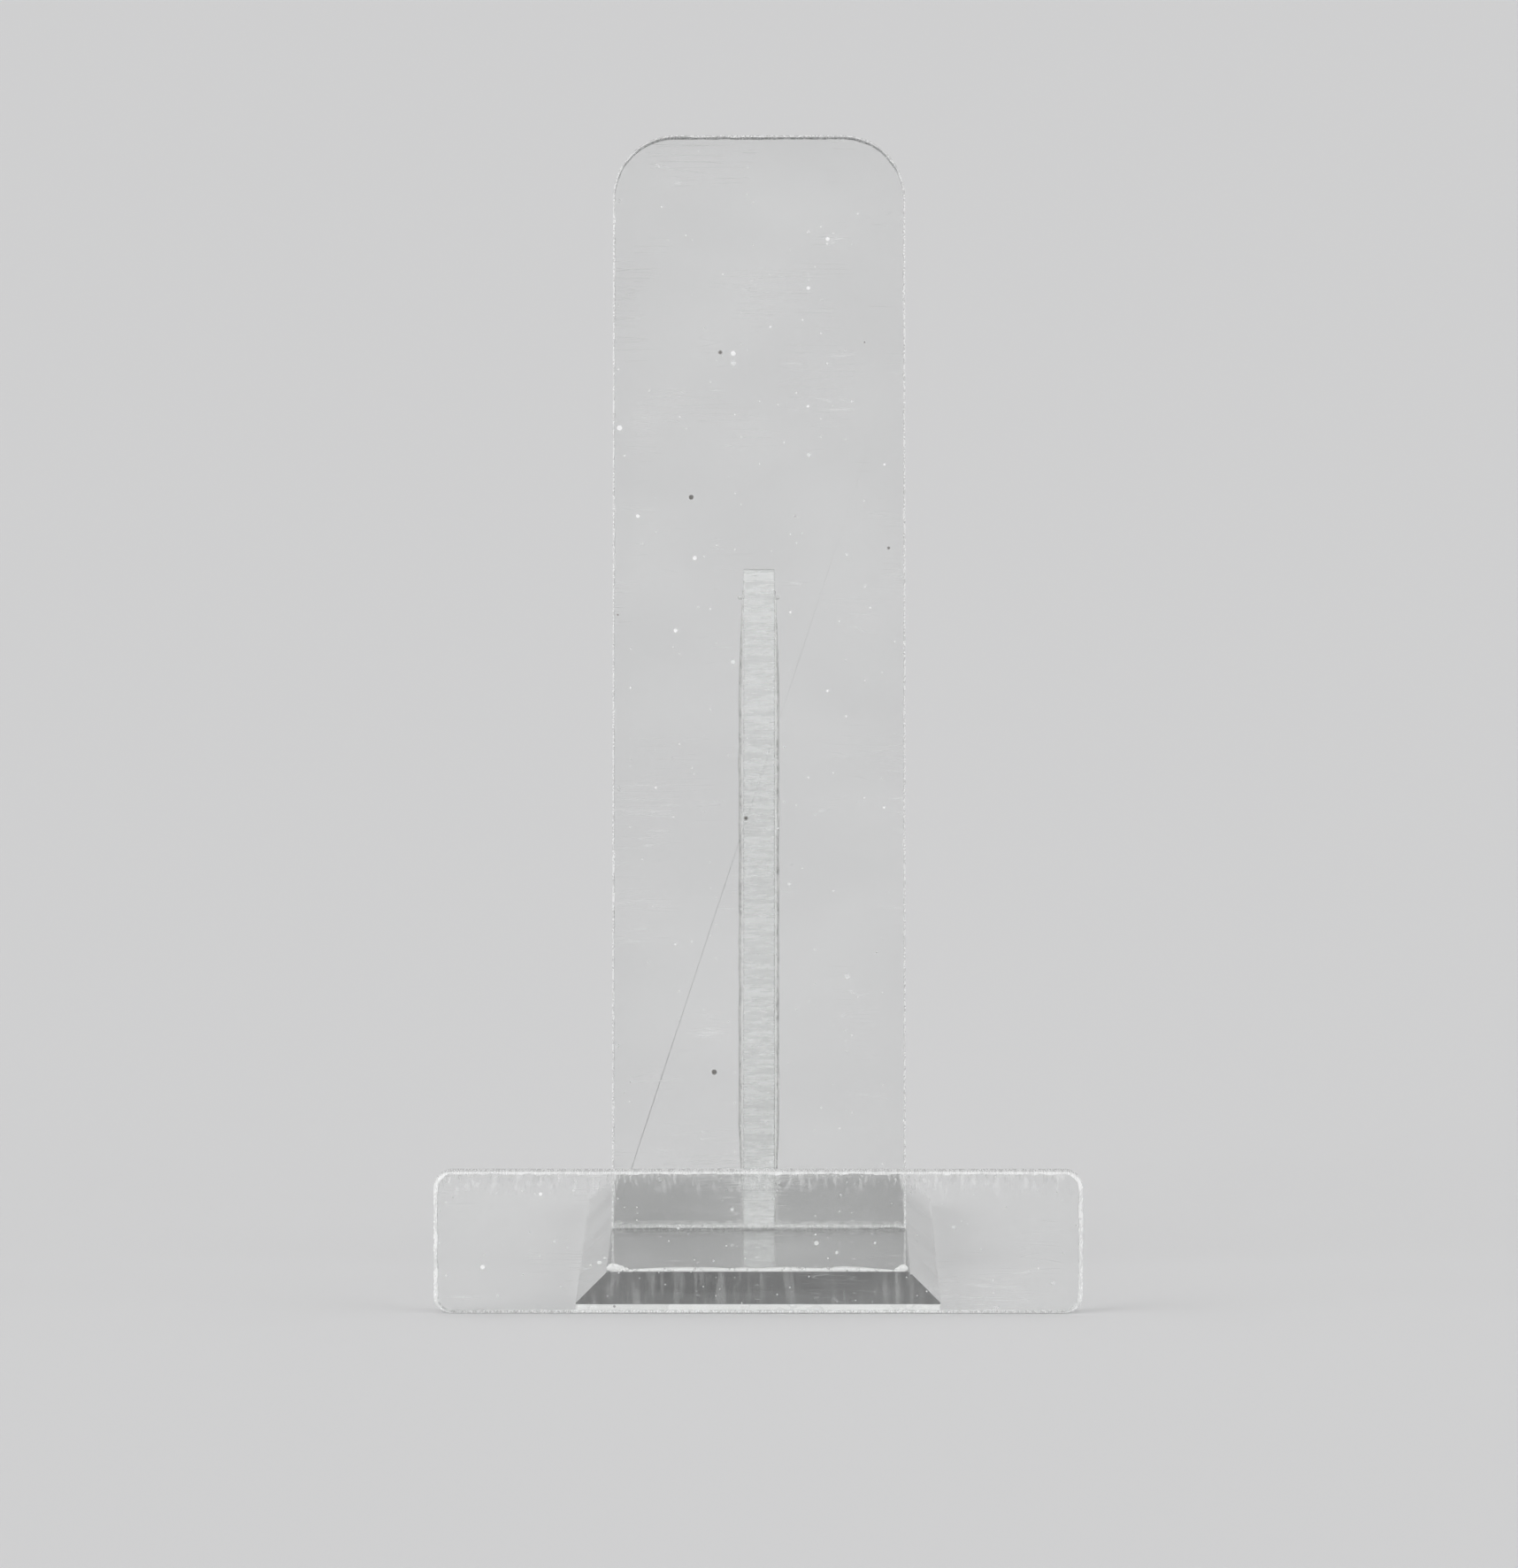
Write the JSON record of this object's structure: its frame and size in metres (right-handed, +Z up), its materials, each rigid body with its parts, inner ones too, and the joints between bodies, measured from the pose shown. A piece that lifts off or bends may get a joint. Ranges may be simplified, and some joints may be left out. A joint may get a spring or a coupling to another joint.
{
  "type": "plate display stand",
  "caption": "Clear acrylic stand that holds a plate upright between a low front lip and a leaning back rest, both cemented to a flat bevelled base bar.",
  "frame": {"origin": "under the middle of the bounding box, on the surface that the stand rests on", "axes": "+Z up; the front lip faces -Y; +X to the right seen from the front"},
  "size_m": [0.06, 0.092, 0.1073],
  "materials": {
    "clear_acrylic": "clear cast acrylic, glossy faces with fine scratches and dust, sawn and flame-polished edges",
    "clear_film": "soft clear vinyl film, slightly hazy",
    "cured_cement": "cured clear solvent cement with trapped bubbles"
  },
  "bodies": {
    "root": {"front_lip": "clear_acrylic", "base_bar": "clear_acrylic", "anti_slip_film": "clear_film", "back_rest": "clear_acrylic", "rear_gusset": "clear_acrylic", "lip_cement_bead": "cured_cement", "back_rest_cement_beads": "cured_cement", "gusset_cement_beads": "cured_cement"}
  },
  "joints": []
}
